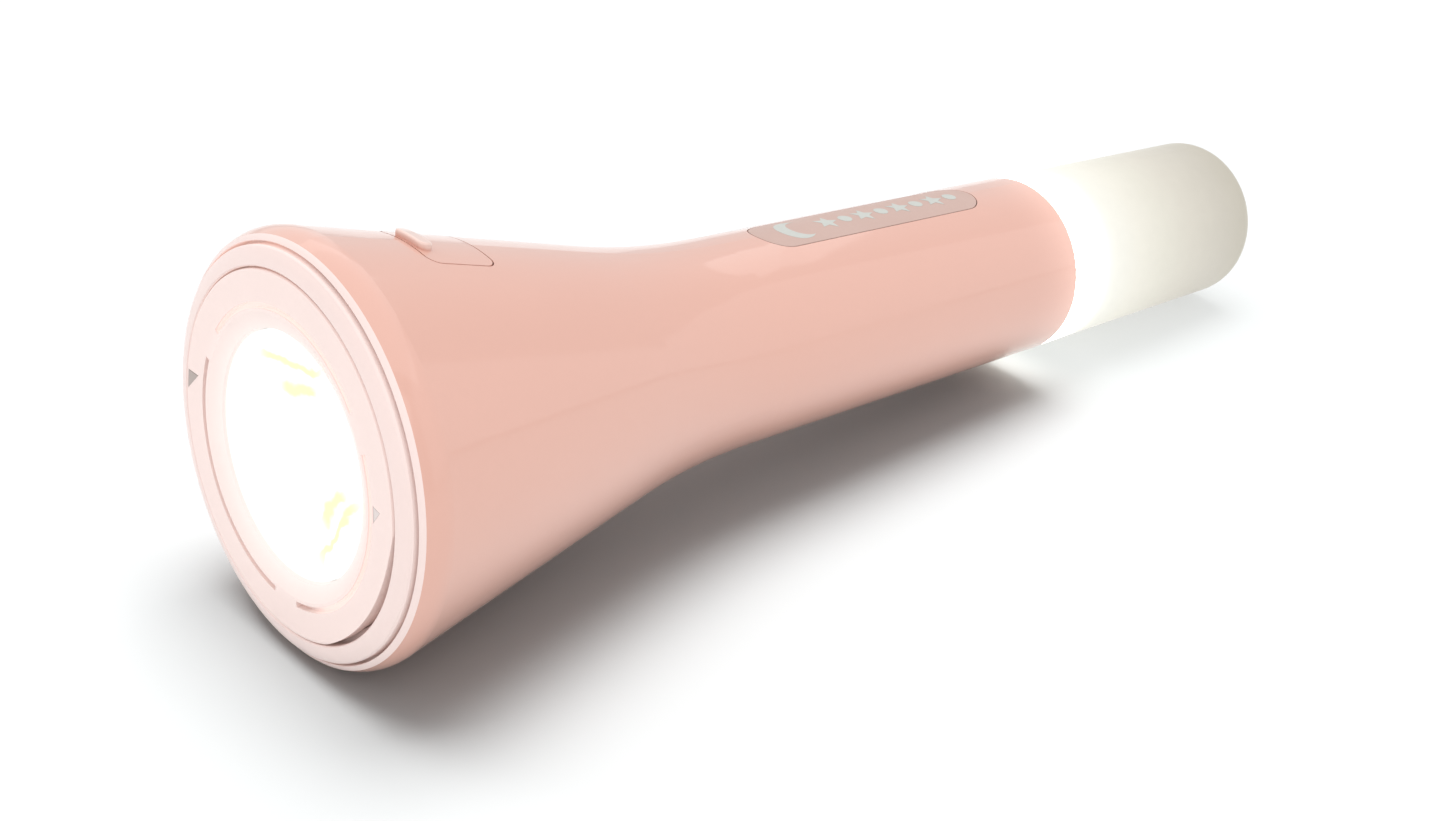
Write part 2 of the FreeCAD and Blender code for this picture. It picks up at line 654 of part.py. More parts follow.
def main_board():
    board = round_prism(BOARD_X, BOARD_HALF_WIDTH, 2.0, BOARD_Z)
    holes = [post(x, 0, 4, 8, 2.8) for x in PLATE_SCREW_X]
    holes += [post(x, y, 4, 8, 1.1) for x, y in BOARD_SCREWS]
    slots = [box((BOARD_X[0] - 1, BOARD_X[0] + 1.2), (-2.8, 2.8), (4, 8))]
    return board.cut(Part.makeCompound(holes + slots))


def board_screws():
    one = screw(4.2, 1.8, 1.2, 0.95)
    one.rotate(ORIGIN, V(0, 1, 0), 90)
    return group([moved(one, x, y, BOARD_Z[1] + 0.02) for x, y in BOARD_SCREWS])


def control_chip():
    """Eight-legged controller with its legs."""
    top = BOARD_Z[1]
    body = box((112.0, 117.0), (-2.0, 2.0), (top + 0.15, top + 1.6))
    legs = [
        box((x - 0.2, x + 0.2), (side * 2.9 - 0.5, side * 2.9 + 0.5), (top, top + 0.35))
        for x in (112.6, 113.9, 115.2, 116.5) for side in (-1, 1)
    ]
    legs += [
        box((x - 0.2, x + 0.2), (side * 2.2 - 0.4, side * 2.2 + 0.4), (top, top + 0.8))
        for x in (112.6, 113.9, 115.2, 116.5) for side in (-1, 1)
    ]
    return fused([body] + legs)


def power_coil():
    """Square shielded inductor with a round core."""
    top = BOARD_Z[1]
    block = round_prism((121.0, 127.0), 3.0, 1.0, (top, top + 3.0))
    return block.cut(post(124.0, 0, top + 2.7, top + 4, 2.2)).fuse(post(124.0, 0, top + 2.0, top + 2.9, 1.7))


def small_parts():
    """Capacitors and resistors on the top of the board."""
    top = BOARD_Z[1]
    places = [
        (104.0, -6.0), (106.5, -6.0), (104.0, 6.0), (109.0, 6.5), (119.0, -6.5), (128.5, 5.5), (131.0, -5.5),
    ]
    chips = [box((x - 0.8, x + 0.8), (y - 0.4, y + 0.4), (top, top + 0.7)) for x, y in places]
    cans = [post(x, y, top, top + 4.6, 2.1) for x, y in ((107.5, 1.0), (136.5, 1.5))]
    return group(chips + cans)


def wire_connectors():
    """Three white two-pin headers where the wires meet the board."""
    top = BOARD_Z[1]
    made = []
    for x, y in ((93.0, -6.5), (93.0, 6.5), (143.0, -5.0)):
        shell = box((x - 2.2, x + 2.2), (y - 2.9, y + 2.9), (top, top + 4.0))
        mouth_x = (x - 3, x + 1.2) if x < 120 else (x - 1.2, x + 3)
        shell = shell.cut(box(mouth_x, (y - 2.2, y + 2.2), (top + 0.7, top + 3.4)))
        made.append(shell)
    return group(made)


def usb_socket():
    """Charging socket under the edge of the board: a metal shell with a tongue, mouth towards +y."""
    shell = side_stadium(4.47, 1.6, (9.6, 16.4)).cut(side_stadium(4.17, 1.3, (10.6, 17.0)))
    tongue = box((USB_X - 3.3, USB_X + 3.3), (10.0, 15.4), (USB_Z - 0.35, USB_Z + 0.35))
    return fused([shell, tongue])


# ---- Lantern -----------------------------------------------------------------------------------------
def lantern_r(x):
    return handle_r(x) - LANTERN_STEP


# The corner round touches the lantern's side and its slightly bulging end face.
CORNER_X = LANTERN_END_X - LANTERN_CORNER_R
CORNER_SIDE_X = CORNER_X + LANTERN_CORNER_R * math.sin(HANDLE_ANGLE)
CORNER_R = lantern_r(CORNER_SIDE_X) - LANTERN_CORNER_R * math.cos(HANDLE_ANGLE)


def lantern_diffuser():
    """Frosted cup with a snap-in neck; its wall is even all round the corner."""
    seam_x = HANDLE_END_X + 0.12
    inner_corner = LANTERN_CORNER_R - LANTERN_WALL
    slant = math.sqrt(0.5)
    side = (CORNER_X + LANTERN_CORNER_R * slant, CORNER_R + LANTERN_CORNER_R * slant)
    inner_side = (CORNER_X + inner_corner * slant, CORNER_R + inner_corner * slant)
    tip = LANTERN_END_X + LANTERN_CROWN
    return turned([
        (tip, 0.0),
        dome_middle(tip, LANTERN_END_X, CORNER_R),
        (LANTERN_END_X, CORNER_R),
        via(side),
        (CORNER_SIDE_X, lantern_r(CORNER_SIDE_X)),
        (seam_x + 0.25, lantern_r(seam_x + 0.25)),
        (seam_x, lantern_r(seam_x) - 0.25),
        (seam_x, 15.2),
        (157.5, 15.2),
        (156.6, 15.27),
        (155.7, 15.2),
        (152.5, 15.05),
        (152.5, 13.9),
        (162.0, 13.9),
        (164.5, lantern_r(164.5) - LANTERN_WALL),
        (CORNER_X, CORNER_R + inner_corner),
        via(inner_side),
        (CORNER_X + inner_corner, CORNER_R),
        dome_middle(tip - LANTERN_WALL, CORNER_X + inner_corner, CORNER_R),
        (tip - LANTERN_WALL, 0.0),
    ])


def lantern_tray():
    """White cup inside the neck that backs the lantern's light board."""
    cup = turned([(153.2, 13.8), (153.2, 12.6), (158.6, 12.6), (158.6, 0), (160.2, 0), (160.2, 13.8)])
    return cup.cut(rod(150, 165, 2.0, -9.0, 0))


def lantern_board():
    board = rod(160.25, 161.85, 13.6)
    return board.cut(rod(155, 165, 1.6, -9.0, 0))


def lantern_leds():
    """Six small light sources in a circle and one in the middle."""
    def one(y, z):
        return box((161.85, 163.4), (y - 1.75, y + 1.75), (z - 1.4, z + 1.4))

    made = [one(0, 0)]
    for i in range(6):
        a = math.radians(60 * i + 30)
        made.append(one(8.6 * math.sin(a), 8.6 * math.cos(a)))
    return group(made)


def name_plate():
    """Stadium-shaped strip set flush into the top of the handle."""
    strip = stadium_prism(PLATE_X, PLATE_HALF_WIDTH, (5, 40))
    strip = strip.common(handle_form(PLATE_X[0] - 5, PLATE_X[1] + 5, 0))
    return strip.cut(handle_form(PLATE_X[0] - 5, PLATE_X[1] + 5, -PLATE_THICK))


# ---- Wires -------------------------------------------------------------------------------------------
def beam_wires():
    """Two wires from the board's front header to the light source's board, through the heat sink."""
    made = []
    for shift in (-0.75, 0.75):
        made.append(wire_tube([
            (91.2, 6.5 + shift, 8.6), (80.0, 6.6 + shift, 8.8), (66.0, 11.2, 5.0 + shift),
            (53.0, 14.2, 1.5 + shift), (44.0, 14.3, shift), (40.0, 14.3, shift),
        ], WIRE_R))
    return group(made)


def switch_wires():
    """Two wires from the switch's board back to the other front header."""
    made = []
    for shift in (-0.75, 0.75):
        made.append(wire_tube([
            (31.2, -4.0 + shift, 20.4), (38.0, -4.3 + shift, 20.3), (47.0, -5.2 + shift, 17.0),
            (60.0, -6.0 + shift, 12.6), (76.0, -6.4 + shift, 9.8), (91.2, -6.5 + shift, 8.6),
        ], WIRE_R))
    return group(made)


def lantern_wires():
    """Two wires from the rear header, through the tray, to the lantern's light board."""
    made = []
    for shift in (-0.75, 0.75):
        made.append(wire_tube([
            (144.4, -5.0 + shift, 8.6), (148.4, -5.4 + shift, 8.5), (152.6, -7.4, 6.2 + shift),
            (155.6, -8.9, 2.4 + shift), (158.0, -9.0, 0.2 + shift), (160.2, -9.0, shift),
        ], WIRE_R))
    return group(made)


# ---- All pieces, then laid down ----------------------------------------------------------------------
PARTS = {
    "body_shell": body_shell,
    "front_bezel": front_bezel,
    "lock_ring": lock_ring,
    "focus_cap": focus_cap,
    "guide_ring": guide_ring,
    "lens_barrel": lens_barrel,
    "front_lens": front_lens,
    "lamp_housing": lamp_housing,
    "housing_screws": housing_screws,
    "reflector": reflector,
    "beam_led": beam_led,
    "beam_led_board": beam_led_board,
    "heat_sink": heat_sink,
    "thumb_button": thumb_button,
    "switch_plunger": switch_plunger,
    "tact_switch": tact_switch,
    "switch_board": switch_board,
    "inner_frame": inner_frame,
    "plate_screws": plate_screws,
    "battery_cell": battery_cell,
    "battery_tabs": battery_tabs,
    "main_board": main_board,
    "board_screws": board_screws,
    "control_chip": control_chip,
    "power_coil": power_coil,
    "small_parts": small_parts,
    "wire_connectors": wire_connectors,
    "usb_socket": usb_socket,
    "lantern_diffuser": lantern_diffuser,
    "lantern_tray": lantern_tray,
    "lantern_board": lantern_board,
    "lantern_leds": lantern_leds,
    "name_plate": name_plate,
    "beam_wires": beam_wires,
    "switch_wires": switch_wires,
    "lantern_wires": lantern_wires,
}


def resting_tilt():
    """Slope of the axis when the torch lies on the rounds of its head and of its lantern's corner."""
    run = CORNER_X - FRONT_EDGE_R
    drop = FRONT_FLAT_R - CORNER_R
    return math.atan2(drop, run) + math.asin((FRONT_EDGE_R - LANTERN_CORNER_R) / math.hypot(run, drop))


TILT = resting_tilt()


def laid_down(shape, shift):
    """The shape turned by the resting tilt and moved into the torch's own frame."""
    copy = shape.copy()
    copy.rotate(ORIGIN, V(0, 1, 0), math.degrees(TILT))
    copy.translate(shift)
    return copy


def footprint_shift():
    """Move that brings the surface under the torch to z = 0 and the middle of its box to x = 0."""
    lift = FRONT_EDGE_R + FRONT_EDGE_R * math.sin(TILT) + FRONT_FLAT_R * math.cos(TILT)
    lowest_x = FRONT_EDGE_R * math.cos(TILT) - FRONT_FLAT_R * math.sin(TILT) - FRONT_EDGE_R
    highest_x = CORNER_X * math.cos(TILT) + CORNER_R * math.sin(TILT) + LANTERN_CORNER_R
    tip_x = (LANTERN_END_X + LANTERN_CROWN) * math.cos(TILT)
    return V(-(lowest_x + max(highest_x, tip_x)) / 2, 0, lift)


SHIFT = footprint_shift()


def main():
    os.makedirs("parts", exist_ok=True)
    for name, make in PARTS.items():
        shape = laid_down(make(), SHIFT)
        bad = [s for s in shape.Solids if not s.isValid() or s.Volume <= 0]
        note = " INVALID" if bad else ""
        print(f"{name}: {len(shape.Solids)} solids, {shape.Volume / 1000:.2f} cm3{note}")
        shape.exportStep(f"parts/{name}.step")


main()
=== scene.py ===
"""Looks for a child's hand torch with a lantern end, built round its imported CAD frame.

Lengths are in metres, in the frame of the CAD. The torch's own axis slopes down from the head to the lantern,
so pieces and materials are laid out in the torch's own frame, in millimetres: x from the front face along the
axis, y to the side, z up through the thumb button, and angles from the top towards +y.
"""

import json
import math

import bmesh
import bpy
from mathutils import Matrix, Vector


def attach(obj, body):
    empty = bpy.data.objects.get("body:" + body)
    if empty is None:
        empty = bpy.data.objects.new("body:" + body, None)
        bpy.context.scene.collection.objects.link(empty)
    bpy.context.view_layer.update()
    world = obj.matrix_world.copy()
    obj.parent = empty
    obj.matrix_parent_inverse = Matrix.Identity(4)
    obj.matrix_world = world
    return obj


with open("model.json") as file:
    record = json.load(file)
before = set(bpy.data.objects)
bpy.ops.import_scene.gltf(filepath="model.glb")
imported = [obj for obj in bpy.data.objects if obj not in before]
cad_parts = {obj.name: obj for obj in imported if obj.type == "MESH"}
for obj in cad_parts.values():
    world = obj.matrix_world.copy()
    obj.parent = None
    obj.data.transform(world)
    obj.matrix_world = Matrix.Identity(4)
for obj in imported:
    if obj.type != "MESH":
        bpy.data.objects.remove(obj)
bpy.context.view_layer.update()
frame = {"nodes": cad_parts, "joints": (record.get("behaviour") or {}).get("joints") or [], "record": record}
NODES = frame["nodes"]
MM = 0.001

# ---- The torch's own frame, read from the record -----------------------------------------------------
JOINTS = {joint["name"]: joint for joint in frame["joints"]}
AXIS = Vector(JOINTS["focus_ring_turn"]["axis"]).normalized()
FRONT_CENTRE = Vector(JOINTS["focus_ring_turn"]["pos_m"])
SIDE = Vector((0, 1, 0))
UP = AXIS.cross(SIDE).normalized()
TILT = math.atan2(-AXIS.z, AXIS.x)


def place(x, y, z):
    """Where a point of the torch's own frame lies in the frame of the CAD."""
    return FRONT_CENTRE + MM * (x * AXIS + y * SIDE + z * UP)


def own_span(node):
    """(lowest, highest) x of a node along the torch's axis, in millimetres."""
    along = [(v.co - FRONT_CENTRE).dot(AXIS) / MM for v in NODES[node].data.vertices]
    return min(along), max(along)


def own_radius(node, x0, x1):
    """Largest distance from the axis that a node reaches between two places along it, in millimetres."""
    best = 0.0
    for v in NODES[node].data.vertices:
        out = v.co - FRONT_CENTRE
        x = out.dot(AXIS)
        if x0 <= x / MM <= x1:
            best = max(best, (out - x * AXIS).length / MM)
    return best


SEAM_X = own_span("body_shell")[1]
LANTERN_TIP_X = own_span("lantern_diffuser")[1]
PLATE_SPAN = own_span("name_plate")
LENS_R = own_radius("front_lens", 0, 4)
# The cone's radius at the two ends of the button's opening.
CONE_X = (19.0, 30.9)
CONE_R = [own_radius("body_shell", x - 0.4, x + 0.4) for x in CONE_X]

# ---- Camera ------------------------------------------------------------------------------------------
CAMERA_AZIMUTH = -43.982
CAMERA_ELEVATION = 28.242
CAMERA_ROLL = 3.182
CAMERA_AT = (-0.22740, -0.20916, 0.16889)
LENS_MM = 47.34


def make_camera():
    data = bpy.data.cameras.new("camera")
    data.lens = LENS_MM
    data.sensor_width = 36.0
    data.sensor_fit = "HORIZONTAL"
    data.clip_start = 0.01
    camera = bpy.data.objects.new("camera", data)
    turn = Matrix.Rotation(math.radians(CAMERA_AZIMUTH), 4, "Z")
    tilt = Matrix.Rotation(math.radians(90 - CAMERA_ELEVATION), 4, "X")
    roll = Matrix.Rotation(math.radians(CAMERA_ROLL), 4, "Z")
    camera.matrix_world = Matrix.Translation(CAMERA_AT) @ turn @ tilt @ roll
    bpy.context.scene.collection.objects.link(camera)
    bpy.context.scene.camera = camera


# ---- Node helpers ------------------------------------------------------------------------------------
def new_material(name, **inputs):
    """A material with one Principled shader whose plain values are set on its own sockets."""
    material = bpy.data.materials.new(name)
    material.use_nodes = True
    shader = material.node_tree.nodes["Principled BSDF"]
    for socket, value in inputs.items():
        shader.inputs[socket.replace("_", " ")].default_value = value
    return material, material.node_tree, shader


def add(tree, kind, inputs=None, **settings):
    """A new shader node with its settings; an input is a plain value or another node's output."""
    node = tree.nodes.new("ShaderNode" + kind)
    for name, value in settings.items():
        setattr(node, name, value)
    for name, value in (inputs or {}).items():
        if isinstance(value, bpy.types.NodeSocket):
            tree.links.new(value, node.inputs[name])
        else:
            node.inputs[name].default_value = value
    return node


def maths(tree, operation, a, b=0.0):
    return add(tree, "Math", {0: a, 1: b}, operation=operation).outputs[0]


def times(tree, a, b):
    return maths(tree, "MULTIPLY", a, b)


def plus(tree, a, b):
    return maths(tree, "ADD", a, b)


def minus(tree, a, b):
    return maths(tree, "SUBTRACT", a, b)


def ranged(tree, value, low, high, to_low=0.0, to_high=1.0, smooth=False):
    """value carried from low..high to to_low..to_high, held at the ends."""
    inputs = {"Value": value, "From Min": low, "From Max": high, "To Min": to_low, "To Max": to_high}
    kind = "SMOOTHSTEP" if smooth else "LINEAR"
    return add(tree, "MapRange", inputs, interpolation_type=kind).outputs["Result"]


def mixed(tree, factor, a, b, blend="MIX"):
    """Colour between a and b."""
    node = tree.nodes.new("ShaderNodeMix")
    node.data_type = "RGBA"
    node.blend_type = blend
    for socket, value in ((node.inputs[0], factor), (node.inputs[6], a), (node.inputs[7], b)):
        if isinstance(value, bpy.types.NodeSocket):
            tree.links.new(value, socket)
        else:
            socket.default_value = value
    return node.outputs[2]


def torch_space(tree):
    """Coordinates in the torch's own frame, in millimetres."""
    where = add(tree, "TexCoord").outputs["Object"]
    inputs = {"Vector": where, "Location": FRONT_CENTRE, "Rotation": (0, TILT, 0), "Scale": (MM, MM, MM)}
    return add(tree, "Mapping", inputs, vector_type="TEXTURE").outputs["Vector"]


def stretched(tree, vector, scale):
    return add(tree, "Mapping", {"Vector": vector, "Scale": scale}, vector_type="POINT").outputs["Vector"]


def noise(tree, vector, scale, detail, roughness=0.5):
    inputs = {"Vector": vector, "Scale": scale, "Detail": detail, "Roughness": roughness}
    return add(tree, "TexNoise", inputs).outputs["Fac"]


def bumped(tree, shader, height, depth):
    """Raises the surface by up to depth millimetres where height is 1."""
    inputs = {"Height": height, "Strength": 1.0, "Distance": depth * MM}
    tree.links.new(add(tree, "Bump", inputs).outputs["Normal"], shader.inputs["Normal"])


def lit(tree, shader, colour, strength):
    """Light given off by the surface, in one colour, as strong as another node's output."""
    shader.inputs["Emission Color"].default_value = colour
    tree.links.new(strength, shader.inputs["Emission Strength"])


def shade(colour, factor):
    """The colour made lighter or darker."""
    return tuple(min(1.0, c * factor) for c in colour[:3]) + (1.0,)


def radius_from_axis(tree, vector):
    parts = add(tree, "SeparateXYZ", {"Vector": vector})
    squares = [times(tree, parts.outputs[i], parts.outputs[i]) for i in (1, 2)]
    return maths(tree, "SQRT", plus(tree, *squares))


# ---- Materials ---------------------------------------------------------------------------------------
def moulded(name, colour, gloss, blotch, grain, grain_scale, **inputs):
    """Moulded plastic: faint clouds and specks in its colour, uneven gloss and a fine orange-peel skin."""
    material, tree, shader = new_material(name, **inputs)
    where = torch_space(tree)
    flow = noise(tree, stretched(tree, where, (0.35, 1.0, 1.0)), 0.09, 4.0)
    clouds = mixed(tree, ranged(tree, flow, 0.3, 0.7), shade(colour, 1 - blotch), shade(colour, 1 + blotch))
    fine = ranged(tree, noise(tree, where, 1.2, 2.0), 0.35, 0.65)
    speckled = mixed(tree, times(tree, fine, 0.3), clouds, shade(colour, 1 - 2 * blotch))
    tree.links.new(speckled, shader.inputs["Base Color"])
    patches = noise(tree, where, 0.25, 3.0)
    tree.links.new(ranged(tree, patches, 0.3, 0.7, *gloss), shader.inputs["Roughness"])
    bumped(tree, shader, noise(tree, where, grain_scale, 2.0), grain)
    return material, tree, shader, speckled, where


BODY_PINK = (0.72, 0.40, 0.32, 1)
RING_PINK = (0.87, 0.70, 0.66, 1)
CAP_PINK = (0.91, 0.735, 0.69, 1)
# Painted highlight: the thumb bar's raised top, paler where it catches the light.
BAR_HIGHLIGHT_PINK = (0.80, 0.57, 0.50, 1)
PLATE_TAUPE = (0.55, 0.38, 0.33, 1)
PRINT_GREY = (0.54, 0.555, 0.52, 1)
BLACK = (0.03, 0.03, 0.032, 1)
# Skins for moulded(): range of roughness, blotch, grain and scale of the grain.
BODY_SKIN = ((0.33, 0.37), 0.008, 0.0008, 1.1)
RING_SKIN = ((0.32, 0.4), 0.012, 0.006, 2.0)
BLACK_SKIN = ((0.42, 0.58), 0.15, 0.02, 6.0)
LACQUER = {"Coat_Weight": 1.0, "Coat_Roughness": 0.06}

# Places on the head that take light in a way of their own, in millimetres.
RING_GAPS = ((27.2, 27.6), (30.38, 30.96))  # inner and outer radius of the gaps between the rings
GRIP_SLOT_R = (21.7, 22.6)                  # the focus cap's finger slots
SEAM_WASH = 16.0                            # how far the lantern's light reaches into the body
CAP_WASH = 6.0                              # and the lens's light over the cap
BARREL_LIT_X = (3.0, 8.0)                   # lit front of the lens barrel


def body_material():
    """Glossy pink, washed with light where the lantern shines through its rear end."""
    material, tree, shader, _, where = moulded("gloss_pink", BODY_PINK, *BODY_SKIN, **LACQUER)
    x = add(tree, "SeparateXYZ", {"Vector": where}).outputs[0]
    wash = maths(tree, "POWER", ranged(tree, x, SEAM_X - SEAM_WASH, SEAM_X), 2.5)
    lit(tree, shader, (1.0, 0.72, 0.62, 1), times(tree, wash, 0.22))
    return material


def button_material():
    """The body's pink, with a painted highlight: the thumb bar is paler where the button stands proud of the
    cone.
    """
    material, tree, shader, colour, where = moulded("button_pink", BODY_PINK, *BODY_SKIN, **LACQUER)
    x = add(tree, "SeparateXYZ", {"Vector": where}).outputs[0]
    height = minus(tree, radius_from_axis(tree, where), ranged(tree, x, *CONE_X, *CONE_R))
    # Painted highlight on the thumb bar, paler the further it stands proud of the cone.
    bar_highlight = mixed(tree, ranged(tree, height, 0.1, 0.5), colour, BAR_HIGHLIGHT_PINK)
    tree.links.new(bar_highlight, shader.inputs["Base Color"])
    return material


def band(tree, value, low, high, edge):
    """1 between low and high, fading to 0 over an edge inside each of them."""
    return times(tree, ranged(tree, value, low, low + edge), ranged(tree, value, high - edge, high, 1, 0))


def ring_material():
    """Pale pink rings; a little light comes through their walls in the gaps, less on the -y side."""
    material, tree, shader, _, where = moulded("pale_pink_ring", RING_PINK, *RING_SKIN, Coat_Weight=0.15)
    radius = radius_from_axis(tree, where)
    inside = 0.0
    for low, high in RING_GAPS:
        inside = maths(tree, "MAXIMUM", inside, band(tree, radius, low, high, 0.03))
    y = add(tree, "SeparateXYZ", {"Vector": where}).outputs[1]
    lit(tree, shader, (0.88, 0.66, 0.58, 1), times(tree, inside, ranged(tree, y, -8.0, 6.0, 0.03, 0.17)))
    return material


def cap_material():
    """The focus cap, washed with light round the lens and in the finger slots at its top and -y side."""
    material, tree, shader, _, where = moulded("pale_pink_cap", CAP_PINK, *RING_SKIN)
    x, y, z = add(tree, "SeparateXYZ", {"Vector": where}).outputs
    radius = radius_from_axis(tree, where)
    wash = maths(tree, "POWER", ranged(tree, radius, LENS_R - 0.5, LENS_R + CAP_WASH, 1.0, 0.0), 2.2)
    in_slot = band(tree, radius, GRIP_SLOT_R[0] - 0.2, GRIP_SLOT_R[1] + 0.2, 0.15)
    sunk = times(tree, in_slot, ranged(tree, x, 0.1, 0.25))
    near_light = maths(tree, "MAXIMUM", ranged(tree, y, -6, -10), ranged(tree, z, 8, 12))
    filled = times(tree, sunk, near_light)
    strength = plus(tree, times(tree, wash, 0.17), times(tree, filled, 0.2))
    tint = mixed(tree, filled, (0.75, 1.0, 1.0, 1), (0.95, 0.88, 0.85, 1))
    tree.links.new(tint, shader.inputs["Emission Color"])
    tree.links.new(strength, shader.inputs["Emission Strength"])
    return material


def barrel_material():
    """Black tube whose front edge is lit by the lens in it."""
    material, tree, shader, _, where = moulded("lit_barrel", BLACK, *BLACK_SKIN)
    x = add(tree, "SeparateXYZ", {"Vector": where}).outputs[0]
    lit(tree, shader, (0.9, 0.98, 0.96, 1), ranged(tree, x, *BARREL_LIT_X, 0.9, 0.0))
    return material


def stroke(tree, y, z, centre, angle, half_long, half_wide):
    """A soft brush stroke on the lens: 1 at its middle line, 0 outside it."""
    sine = math.sin(math.radians(angle))
    cosine = math.cos(math.radians(angle))
    dy = minus(tree, y, centre[0])
    dz = minus(tree, z, centre[1])
    along = plus(tree, times(tree, dy, cosine), times(tree, dz, sine))
    across = minus(tree, times(tree, dz, cosine), times(tree, dy, sine))
    off_middle = maths(tree, "ABSOLUTE", along)
    off_line = maths(tree, "ABSOLUTE", across)
    long_fade = ranged(tree, off_middle, half_long * 0.5, half_long, 1.0, 0.0, smooth=True)
    wide_fade = ranged(tree, off_line, half_wide * 0.3, half_wide, 1.0, 0.0, smooth=True)
    return times(tree, long_fade, wide_fade)


# Faint yellow streaks in the lit lens: (y, z) of the middle, angle, half length and half width.
LENS_STREAKS = (
    ((0.5, 14.5), -11.0, 10.1, 0.8),
    ((-2.2, 11.4), -15.0, 5.5, 1.3),
    ((-4.0, 11.7), -13.0, 3.4, 0.9),
    ((-11.4, -2.8), -50.0, 5.3, 1.1),
    ((-12.6, -6.2), -59.0, 10.2, 0.8),
    ((-13.0, -5.7), -53.0, 5.1, 0.7),
)


def lens_material():
    """The lit lens: so bright that only faint yellow streaks are left in it."""
    dark = (0.05, 0.05, 0.05, 1)
    coat = {"Coat_Weight": 1.0, "Coat_Roughness": 0.03}
    material, tree, shader = new_material("lit_lens", Base_Color=dark, Roughness=0.08, IOR=1.49, **coat)
    where = torch_space(tree)
    wobble = times(tree, minus(tree, noise(tree, where, 0.22, 2.0), 0.5), 3.0)
    _, y, z = add(tree, "SeparateXYZ", {"Vector": where}).outputs
    y = plus(tree, y, wobble)
    z = plus(tree, z, wobble)
    streaks = 0.0
    for streak in LENS_STREAKS:
        streaks = maths(tree, "MAXIMUM", streaks, stroke(tree, y, z, *streak))
    glow = mixed(tree, streaks, (1.0, 1.0, 0.99, 1), (1.0, 1.0, 0.45, 1))
    tree.links.new(glow, shader.inputs["Emission Color"])
    shader.inputs["Emission Strength"].default_value = 1.05
    return material


# Tone of the lit lantern, from 0 at its seam to 1 at its tip.
LANTERN_TONES = (
    (0.0, (0.97, 0.96, 0.86, 1)),
    (0.06, (1.0, 1.0, 0.96, 1)),
    (0.2, (0.98, 0.965, 0.88, 1)),
    (0.33, (0.91, 0.88, 0.78, 1)),
    (0.45, (0.82, 0.79, 0.69, 1)),
    (0.6, (0.73, 0.69, 0.60, 1)),
    (0.8, (0.62, 0.58, 0.50, 1)),
    (1.0, (0.53, 0.49, 0.40, 1)),
)


def lantern_material():
    """Frosted plastic lit from its foot: white at the seam, cream, then grey-beige towards the tip."""
    material, tree, shader = new_material("frosted_lantern", Roughness=0.42, Coat_Weight=0.1)
    where = torch_space(tree)
    x = add(tree, "SeparateXYZ", {"Vector": where}).outputs[0]
    along = ranged(tree, x, SEAM_X, LANTERN_TIP_X)
    ramp = add(tree, "ValToRGB", {"Fac": along})
    stops = ramp.color_ramp.elements
    stops[0].position, stops[0].color = LANTERN_TONES[0]
    stops[1].position, stops[1].color = LANTERN_TONES[-1]
    for position, colour in LANTERN_TONES[1:-1]:
        stops.new(position).color = colour
    cloud = ranged(tree, noise(tree, where, 0.35, 3.0), 0.3, 0.7, 0.99, 1.01)
    tone = mixed(tree, 1.0, ramp.outputs["Color"], cloud, "MULTIPLY")
    tree.links.new(mixed(tree, 0.58, tone, (0, 0, 0, 1)), shader.inputs["Base Color"])
    tree.links.new(tone, shader.inputs["Emission Color"])
    glow = maths(tree, "POWER", ranged(tree, along, 0.0, 0.24, 1.0, 0.0), 3.0)
    strength = plus(tree, times(tree, glow, 3.5), 0.5)
    tree.links.new(strength, shader.inputs["Emission Strength"])
    bumped(tree, shader, noise(tree, where, 6.0, 2.0), 0.01)
    return material


def plate_material():
    return moulded("plate_taupe_satin", PLATE_TAUPE, (0.38, 0.5), 0.02, 0.01, 5.0)[0]


def print_material():
    return moulded("print_grey", PRINT_GREY, (0.45, 0.6), 0.04, 0.012, 8.0)[0]


def metal(name, colour, roughness, grain_direction, scratch=0.02):
    """Metal with fine lines along one direction and uneven polish."""
    material, tree, shader = new_material(name, Metallic=1.0)
    where = torch_space(tree)
    lines = noise(tree, stretched(tree, where, grain_direction), 3.0, 4.0, 0.7)
    tree.links.new(mixed(tree, lines, shade(colour, 0.86), shade(colour, 1.08)), shader.inputs["Base Color"])
    tree.links.new(ranged(tree, lines, 0.3, 0.7, *roughness), shader.inputs["Roughness"])
    bumped(tree, shader, lines, scratch)
    return material


def board_material(name, mask, copper):
    """Printed circuit board: solder mask over tracks that show as slightly raised, lighter lines."""
    material, tree, shader = new_material(name, Roughness=0.32)
    where = torch_space(tree)
    square = {"feature": "DISTANCE_TO_EDGE", "distance": "CHEBYCHEV"}
    cells = add(tree, "TexVoronoi", {"Vector": where, "Scale": 0.45}, **square)
    tracks = ranged(tree, cells.outputs["Distance"], 0.06, 0.09, 1.0, 0.0)
    toned = mixed(tree, tracks, mask, copper)
    specks = ranged(tree, noise(tree, where, 1.3, 2.0), 0.66, 0.7)
    printed_over = mixed(tree, times(tree, specks, 0.5), toned, (0.8, 0.8, 0.76, 1))
    tree.links.new(printed_over, shader.inputs["Base Color"])
    bumped(tree, shader, tracks, 0.03)
    return material


